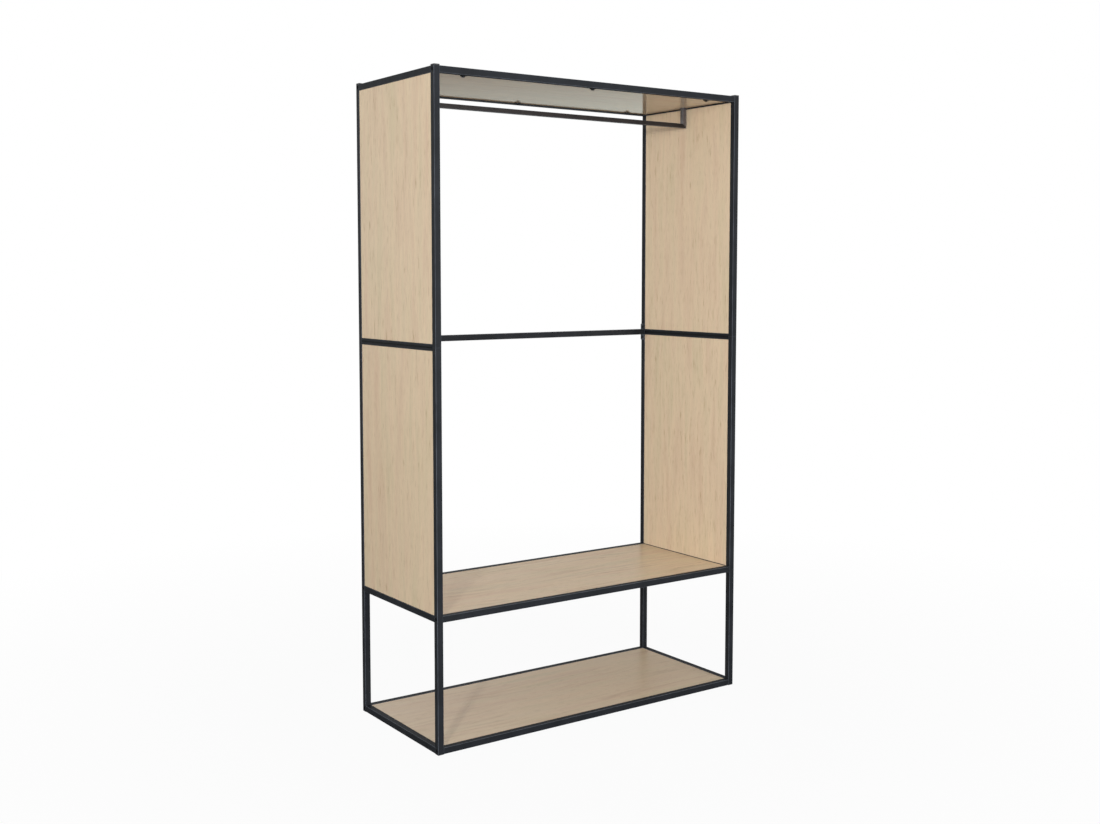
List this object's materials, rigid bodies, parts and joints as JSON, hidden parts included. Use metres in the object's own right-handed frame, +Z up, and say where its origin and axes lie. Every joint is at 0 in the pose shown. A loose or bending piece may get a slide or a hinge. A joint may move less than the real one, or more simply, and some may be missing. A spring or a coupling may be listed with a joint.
{
  "type": "open frame wardrobe",
  "caption": "Tall open wardrobe: a square-tube steel frame with oak-look side panels, a top board, a raised shelf, a bottom board and a hanging bar on two risers.",
  "frame": {"origin": "centre of the footprint on the floor, at the soles of the feet", "axes": "+Z up; +X along the front to the right as seen from the front; +Y from the front to the back"},
  "size_m": [1.2, 0.5, 2.06],
  "materials": {
    "frame_paint": "fine matt powder coat, near black",
    "hanging_rail_paint": "fine satin powder coat, near black",
    "oak_laminate": "light oak laminate with a fine grain, satin",
    "end_plastic": "moulded, black",
    "fixing_steel": "blackened",
    "plain_steel": "zinc plated"
  },
  "bodies": {
    "root": {"back_bottom_rail": "frame_paint", "back_left_cap": "end_plastic", "back_left_foot": "end_plastic", "back_left_lower_post": "frame_paint", "back_left_splice": "plain_steel", "back_left_upper_post": "frame_paint", "back_mid_rail": "frame_paint", "back_right_cap": "end_plastic", "back_right_foot": "end_plastic", "back_right_lower_post": "frame_paint", "back_right_splice": "plain_steel", "back_right_upper_post": "frame_paint", "back_shelf_rail": "frame_paint", "back_top_rail": "frame_paint", "board_lugs": "frame_paint", "board_screws": "fixing_steel", "bottom_board": "oak_laminate", "bottom_board_screws": "fixing_steel", "front_bottom_rail": "frame_paint", "front_left_cap": "end_plastic", "front_left_foot": "end_plastic", "front_left_lower_post": "frame_paint", "front_left_splice": "plain_steel", "front_left_upper_post": "frame_paint", "front_right_cap": "end_plastic", "front_right_foot": "end_plastic", "front_right_lower_post": "frame_paint", "front_right_splice": "plain_steel", "front_right_upper_post": "frame_paint", "front_shelf_rail": "frame_paint", "front_top_rail": "frame_paint", "hanger_bolts": "fixing_steel", "hanger_plugs": "plain_steel", "hanging_bar": "hanging_rail_paint", "left_bottom_rail": "frame_paint", "left_hanger_riser": "hanging_rail_paint", "left_lower_mid_rail": "frame_paint", "left_lower_panel": "oak_laminate", "left_shelf_rail": "frame_paint", "left_top_rail": "frame_paint", "left_upper_mid_rail": "frame_paint", "left_upper_panel": "oak_laminate", "panel_screws": "fixing_steel", "rail_bolts": "fixing_steel", "rail_end_plugs": "plain_steel", "right_bottom_rail": "frame_paint", "right_hanger_riser": "hanging_rail_paint", "right_lower_mid_rail": "frame_paint", "right_lower_panel": "oak_laminate", "right_shelf_rail": "frame_paint", "right_top_rail": "frame_paint", "right_upper_mid_rail": "frame_paint", "right_upper_panel": "oak_laminate", "shelf_board": "oak_laminate", "splice_screws": "fixing_steel", "tie_bolts": "fixing_steel", "tie_plates": "frame_paint", "top_board": "oak_laminate"}
  },
  "joints": []
}
